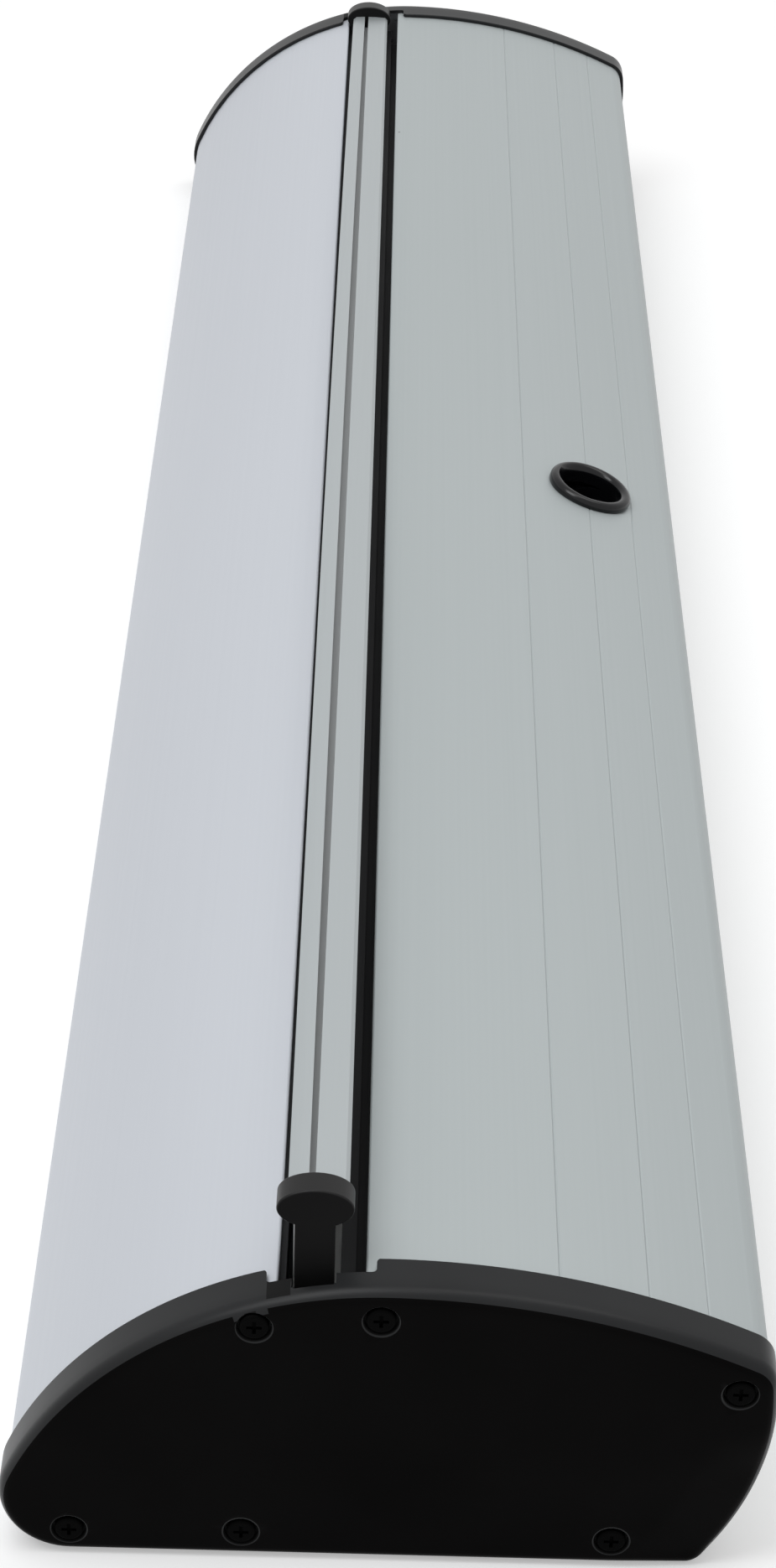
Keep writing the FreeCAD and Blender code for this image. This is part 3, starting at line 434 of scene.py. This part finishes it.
def cap_body(name, side):
    """A cap from its skirt over the rounded edge to the middle of its face, closed by its inner face."""
    rings = [[(x, side * SKIRT_Y, z) for x, z in section(inset)] for inset in (SKIRT_WALL, SKIRT_CHAMFER)]
    rings.append([(x, side * (SKIRT_Y + SKIRT_CHAMFER), z) for x, z in section()])
    start = CAP_FACE_Y - FACE_CROWN - EDGE_DEEP
    low = SKIRT_Y + 2 * SKIRT_CHAMFER
    for i in range(4):
        rings.append([(x, side * (low + (start - low) * i / 3), z) for x, z in section()])
    for i in range(1, 9):
        turn = math.pi / 2 * i / 8
        ring = []
        for x, z in section(EDGE_IN * (1 - math.cos(turn))):
            deep = face_depth(x, z, 0) - FACE_CROWN
            ring.append((x, side * (start + EDGE_DEEP * math.sin(turn) - deep * math.sin(turn)), z))
        rings.append(ring)
    rim = section(EDGE_IN)
    steps = 26
    for i in range(1, steps):
        share = i / steps
        ring = []
        for x, z in rim:
            sx, sz = clamp(x, -FACE_CENTRE_HALF, FACE_CENTRE_HALF), FACE_CENTRE_Z
            px, pz = x + (sx - x) * share, z + (sz - z) * share
            ring.append((px, side * (CAP_FACE_Y - face_depth(px, pz, share)), pz))
        rings.append(ring)
    inner = [[(x, side * CAP_FLOOR_Y, z) for x, z in section(SKIRT_WALL)]]
    bm = bmesh.new()
    loft(bm, inner + rings)
    cap = from_bmesh(name, bm, 40)
    subtract(cap, cap_cutters(side))
    bm = bmesh.new()
    seat_box(bm, side)
    seat = from_bmesh(name + "_seat", bm)
    joined = bmesh.new()
    joined.from_mesh(cap.data)
    joined.from_mesh(seat.data)
    joined.to_mesh(cap.data)
    joined.free()
    bpy.data.objects.remove(seat)
    smooth(cap.data, 34)
    return cap


def box_bm(bm, low, high):
    made = bmesh.ops.create_cube(bm, size=1.0)["verts"]
    for vert in made:
        for axis in range(3):
            vert.co[axis] = (low[axis] if vert.co[axis] < 0 else high[axis]) * MM
    return made


def seat_box(bm, side):
    """The block that the rail's head stands on, let into the cap's inner face."""
    ends = sorted((side * SEAT_Y, side * (CAP_FLOOR_Y + SEAT_EDGE)))
    verts = box_bm(bm, (POCKET_X[0], ends[0], SEAT_Z[0]), (POCKET_X[1], ends[1], SEAT_Z[1]))
    edges = {edge for vert in verts for edge in vert.link_edges}
    bmesh.ops.bevel(bm, geom=list(edges), offset=SEAT_EDGE * MM, segments=2, affect="EDGES")


def rounded_slot(name, x0, x1, y0, y1, z0, z1, radius):
    """Upright cutter with rounded vertical corners on the side away from the middle."""
    bm = bmesh.new()
    verts = box_bm(bm, (x0, min(y0, y1), z0), (x1, max(y0, y1), z1))
    far = max((y0, y1), key=abs)
    edges = [edge for edge in bm.edges
             if all(abs(vert.co.y - far * MM) < 1e-6 for vert in edge.verts)
             and abs(edge.verts[0].co.z - edge.verts[1].co.z) > 1e-6]
    bmesh.ops.bevel(bm, geom=edges, offset=radius * MM, segments=6, affect="EDGES")
    return from_bmesh(name, bm)


def lathe(name, profile, centre, axis_sign, steps=40):
    """A turned form along Y: profile of (radius, distance) from the centre point."""
    bm = bmesh.new()
    rings = []
    for radius, along in profile:
        rings.append([(centre[0] + radius * math.cos(2 * math.pi * i / steps),
                       centre[1] + axis_sign * along,
                       centre[2] + radius * math.sin(2 * math.pi * i / steps)) for i in range(steps)])
    loft(bm, rings)
    return from_bmesh(name, bm)


def notch_cutter(side):
    """Upright cutter of the notch: rounded inner corners, and rounded skirt corners at its mouth."""
    (x0, x1), mouth, deep, inner, outer = NOTCH_X, SKIRT_Y, NOTCH_Y, NOTCH_CORNER, MOUTH_CORNER
    plan = [(x0 - outer, mouth - CUTTER_SPARE)]
    for cx, cy, start, end, radius in (
            (x0 - outer, mouth + outer, -90, 0, outer), (x0 + inner, deep - inner, 180, 90, inner),
            (x1 - inner, deep - inner, 90, 0, inner), (x1 + outer, mouth + outer, 180, 270, outer)):
        for i in range(7):
            turn = math.radians(start + (end - start) * i / 6)
            plan.append((cx + radius * math.cos(turn), cy + radius * math.sin(turn)))
    plan.append((x1 + outer, mouth - CUTTER_SPARE))
    bm = bmesh.new()
    loft(bm, [[(x, side * y, z) for x, y in plan] for z in (NOTCH_FLOOR_Z, CUTTER_TOP_Z)])
    return from_bmesh("cut_notch", bm)


def cap_cutters(side):
    """What is taken out of a cap: the notch, the pocket, and each screw's sink and hole."""
    cutters = [
        notch_cutter(side),
        rounded_slot("cut_pocket", *POCKET_X, side * (SKIRT_Y - CUTTER_SPARE), side * POCKET_Y,
                     SEAT_Z[1], CUTTER_TOP_Z, POCKET_CORNER),
    ]
    for number, (x, z) in enumerate(SCREWS):
        back = face_depth(x, z, 0.3)
        face = side * (CAP_FACE_Y - back)
        sink = [(4.25, -2.3 + back), (4.3, -0.9), (4.55, -0.35), (5.0, -0.05), (6.4, 0.35), (6.4, 3.0)]
        cutters.append(lathe(f"cut_sink{number}", sink, (x, face, z), side))
        hole = [(2.15, -7.0), (2.15, 3.0)]
        cutters.append(lathe(f"cut_hole{number}", hole, (x, face, z), side, 24))
    return cutters


def paint_cap_shade(cap, side):
    """Painted shade: a darker, almost sheenless black on the outward face, and a darker, dull black in the
    notch, the pocket and the sinks; the sinks' rims keep the cap's lighter black.
    """
    cap.data.materials.append(CAP_FACE)
    cap.data.materials.append(CAP_RECESS_SHADE)
    for face in cap.data.polygons:
        x, y, z = face.center / MM
        outward = face.normal.y * side
        to_screw = min(math.hypot(x - sx, z - sz) for sx, sz in SCREWS)
        in_sink = to_screw < SINK_R and abs(y) > SINK_FROM_Y
        # the sinks' rims keep the cap's lighter black: painted light where they catch the lamps
        on_rim = to_screw < SINK_RIM_R and outward < RIM_TURN
        in_notch = (INSIDE_X[0] < x < INSIDE_X[1] and INSIDE_Z[0] < z < INSIDE_Z[1]
                    and abs(y) < INSIDE_Y)
        # painted shade in the sinks and the notch
        if in_sink or in_notch:
            face.material_index = 2
        elif outward > FACE_TURN and abs(y) > FACE_FROM_Y and not on_rim:
            face.material_index = 1


for label, side in (("near", -1), ("far", 1)):
    cap = cap_body(f"{label}_cap_moulding", side)
    paint(cap, CAP_BLACK)
    paint_cap_shade(cap, side)
    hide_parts(f"{label}_end_cap")
    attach(cap, "base")


# Rail bars: drawn sections with small broken edges; the front bar bows forward at mid-length

BAR_EDGE = 0.16
SLOT_X, SLOT_TOP_Z = (-23.0, -18.7), 87.4


def swept_bar(name, profile, bow, material, node_name):
    """A bar of (x, z, share of the bow) points, lying as the lifted rail does."""
    steps = 48
    rings = []
    for i in range(steps + 1):
        y = -BAR_END + 2 * BAR_END * i / steps
        shift = -bow * (1 - (y / BAR_END) ** 2)
        rings.append([(x + shift * weight, y, z) for x, z, weight in profile])
    bm = bmesh.new()
    loft(bm, rings)
    long_edges = [edge for edge in bm.edges
                  if abs(edge.verts[0].co.y - edge.verts[1].co.y) > 0.001
                  and edge.calc_face_angle(0) > math.radians(25)]
    bmesh.ops.bevel(bm, geom=long_edges, offset=BAR_EDGE * MM, segments=2, affect="EDGES",
                    clamp_overlap=True)
    bm.transform(LIFTED)
    bar = from_bmesh(name, bm, 40)
    paint(bar, material)
    # painted light: the faces inside the groove take the lighter copy of the aluminium
    bar.data.materials.append(GROOVE_PAINTED_LIGHT)
    for face in bar.data.polygons:
        level = (LIFTED.inverted() @ face.center) / MM
        in_slot = SLOT_X[0] < level.x < SLOT_X[1] and level.z < SLOT_TOP_Z
        if in_slot and abs(level.y) < BAR_END - 0.5:
            face.material_index = 1
    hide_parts(node_name)
    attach(bar, "rail")


FRONT_BAR = [
    (-25.6, 81.0, 1), (-24.3, 81.0, 0.1), (-24.3, 85.9, 0.1), (-20.5, 86.4, 1), (-20.5, 88.2, 1),
    (-24.2, 88.0, 1), (-25.6, 86.9, 1),
]
REAR_BAR = [
    (-23.9, 81.0, 1), (-10.4, 81.0, 1), (-10.4, 86.9, 1), (-11.4, 87.9, 1), (-15.6, 88.2, 1),
    (-18.9, 88.2, 1), (-18.9, 83.2, 1), (-21.8, 83.2, 1), (-21.8, 82.6, 1), (-23.9, 82.6, 1),
]
swept_bar("front_rail_extrusion", FRONT_BAR, 0.7, RAIL_METAL, "rail_front_bar")
swept_bar("rear_rail_extrusion", REAR_BAR, 0.0, RAIL_METAL, "rail_rear_bar")


# Pole grommet: a fat rounded ring on the slope, with an upright bore

POLE_X = 65.6
SKIN_R = REAR_R - 1.5
SLOPE = math.asin(POLE_X / SKIN_R)
# the ring's wall turns from square to the slope to upright between these radii
WALL_TURNS_R, WALL_TURN = 12.4, 1.7


def grommet_skirt(bm):
    """Upright skirt below the ring: a bore for the pole, then a seat over the socket tube."""
    profile = [(13.2, 59.7), (13.2, 72.0), (10.7, 72.0), (10.7, 68.0), (11.7, 67.9), (11.7, 59.7)]
    steps = 64
    loft(bm, [[(POLE_X + radius * math.cos(2 * math.pi * i / steps),
                radius * math.sin(2 * math.pi * i / steps), z) for i in range(steps)]
              for radius, z in profile], around=True)


def grommet():
    out = Vector((math.sin(SLOPE), 0, math.cos(SLOPE)))
    across = Vector((math.cos(SLOPE), 0, -math.sin(SLOPE)))
    middle = Vector((REAR_C[0], 0, REAR_C[1]))
    centre = middle + out * SKIN_R
    profile = [
        (13.3, -3.0), (13.3, -0.35), (14.55, -0.3), (14.95, 0.35), (15.0, 1.05), (14.85, 1.75),
        (14.45, 2.35), (13.85, 2.75), (13.1, 2.95), (12.3, 2.85), (11.6, 2.45), (11.0, 1.8),
        (10.75, 1.0), (10.7, 0.2), (10.7, -3.0),
    ]
    steps = 96
    bm = bmesh.new()
    rings = []
    for radius, height in profile:
        ring = []
        for i in range(steps):
            turn = 2 * math.pi * i / steps
            # the bore is upright, so its wall shifts along the slope with height
            bore = clamp((WALL_TURNS_R - radius) / WALL_TURN)
            lean = bore * -math.tan(SLOPE) * height
            stretch = 1 / math.cos(SLOPE) * bore + (1 - bore)
            point = (centre + out * height + across * (radius * math.cos(turn) * stretch + lean)
                     + Vector((0, 1, 0)) * radius * math.sin(turn))
            if height < 0.5 and radius > 11:
                # the ring's foot follows the curved skin
                level = Vector((point.x, 0, point.z)) - middle
                point = point + out * (SKIN_R - level.length + height)
            ring.append(point)
        rings.append(ring)
    loft(bm, rings, around=True)
    grommet_skirt(bm)
    return from_bmesh("grommet_ring", bm, 50)


ring = grommet()
paint(ring, RUBBER)
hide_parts("pole_grommet")
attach(ring, "base")


# Banner film: a lower stretch from the roll to the slot, and an upper stretch held by the rail

FILM_X = -24.1
FILM_HALF = 425.0
FILM_HALF_THICK = 0.14
FILM_LOW, FILM_SPLIT, FILM_HELD = 38.0, 62.0, 85.0


def film_strip(name, low, high_level, tilted, rows):
    """A thin closed sheet in the YZ plane; its upper edge may follow the tilted rail."""
    columns = 40
    bm = bmesh.new()
    grid = {}
    for layer, offset in enumerate((-FILM_HALF_THICK, FILM_HALF_THICK)):
        for i in range(columns + 1):
            y = -FILM_HALF + 2 * FILM_HALF * i / columns
            top = (LIFTED @ (Vector((0, y, high_level)) * MM)).z / MM if tilted else high_level
            for k in range(rows + 1):
                z = low + (top - low) * k / rows
                grid[layer, i, k] = bm.verts.new(Vector((FILM_X + offset, y, z)) * MM)
    for layer in (0, 1):
        for i in range(columns):
            for k in range(rows):
                bm.faces.new([grid[layer, i + a, k + b] for a, b in ((0, 0), (1, 0), (1, 1), (0, 1))])
    border = ([(i, 0) for i in range(columns)] + [(columns, k) for k in range(rows)]
              + [(i, rows) for i in range(columns, 0, -1)] + [(0, k) for k in range(rows, 0, -1)])
    for (i, k), (m, n) in zip(border, border[1:] + border[:1]):
        bm.faces.new([grid[0, i, k], grid[0, m, n], grid[1, m, n], grid[1, i, k]])
    strip = from_bmesh(name, bm, 30)
    paint(strip, FILM)
    return strip


lower = film_strip("film_lower", FILM_LOW, FILM_SPLIT, False, 12)
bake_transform(lower)
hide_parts("banner_web")
upper = film_strip("film_upper", FILM_SPLIT, FILM_HELD, True, 12)
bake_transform(upper)


# Camera

camera_data = bpy.data.cameras.new("camera")
camera = new_object("camera", camera_data)
camera_data.lens = 82.78
camera_data.sensor_width = 36.0
camera_data.clip_start, camera_data.clip_end = 0.05, 50
RIGHT = Vector((0.99963, 0.01111, 0.02479))
UP = Vector((-0.02689, 0.53385, 0.84515))
BACK = RIGHT.cross(UP).normalized()
UP = BACK.cross(RIGHT).normalized()
turn = Matrix((RIGHT.normalized(), UP, BACK)).transposed().to_4x4()
camera.matrix_world = Matrix.Translation((-0.0071, -1.1260, 0.6637)) @ turn
bpy.context.scene.camera = camera


# Floor, world and lamps

FLOOR_TONE, FLOOR_LIFT, FLOOR_HALF = 0.82, 0.35, 12
WORLD_LIGHT, WORLD_SEEN = 0.42, 1.0


def seen(tree):
    """1 for camera, glossy and transmission rays."""
    path = add(tree, "ShaderNodeLightPath")
    total = path.outputs["Is Camera Ray"]
    for other in ("Is Glossy Ray", "Is Transmission Ray"):
        both = add(tree, "ShaderNodeMath", operation="MAXIMUM")
        tree.links.new(total, both.inputs[0])
        tree.links.new(path.outputs[other], both.inputs[1])
        total = both.outputs[0]
    return total


def floor():
    bm = bmesh.new()
    bmesh.ops.create_grid(bm, x_segments=2, y_segments=2, size=FLOOR_HALF)
    obj = from_bmesh("floor", bm)
    obj.location = (0, 0, -0.0002)
    material, tree, shader = node_tree("floor_paper")
    shader.inputs["Base Color"].default_value = (FLOOR_TONE, FLOOR_TONE, FLOOR_TONE, 1)
    shader.inputs["Roughness"].default_value = 0.9
    shader.inputs["Specular IOR Level"].default_value = 0.1
    shader.inputs["Emission Color"].default_value = (1, 1, 1, 1)
    lift = add(tree, "ShaderNodeMath", operation="MULTIPLY")
    tree.links.new(seen(tree), lift.inputs[0])
    lift.inputs[1].default_value = FLOOR_LIFT
    tree.links.new(lift.outputs[0], shader.inputs["Emission Strength"])
    paint(obj, material)


def world():
    made = bpy.data.worlds.new("studio")
    bpy.context.scene.world = made
    made.use_nodes = True
    tree = made.node_tree
    background = tree.nodes["Background"]
    background.inputs["Color"].default_value = (1, 1, 1, 1)
    strength = ranged(tree, seen(tree), WORLD_LIGHT, WORLD_SEEN, 0, 1)
    tree.links.new(strength, background.inputs["Strength"])


def lamp(name, place, target, size, power, colour):
    data = bpy.data.lights.new(name, "AREA")
    data.shape = "RECTANGLE"
    data.size, data.size_y = size
    data.energy = power
    data.color = colour
    obj = new_object(name, data)
    obj.location = place
    obj.rotation_euler = (Vector(target) - Vector(place)).to_track_quat("-Z", "Y").to_euler()


floor()
world()
lamp("key", (-0.75, -0.6, 2.3), (0, 0, 0), (0.9, 1.8), 26.5, (0.97, 0.985, 1.0))
lamp("fill", (0.7, 0.5, 2.3), (0, 0, 0), (0.7, 1.6), 8.5, (1.0, 0.99, 0.97))
bpy.context.scene.view_settings.view_transform = "Standard"
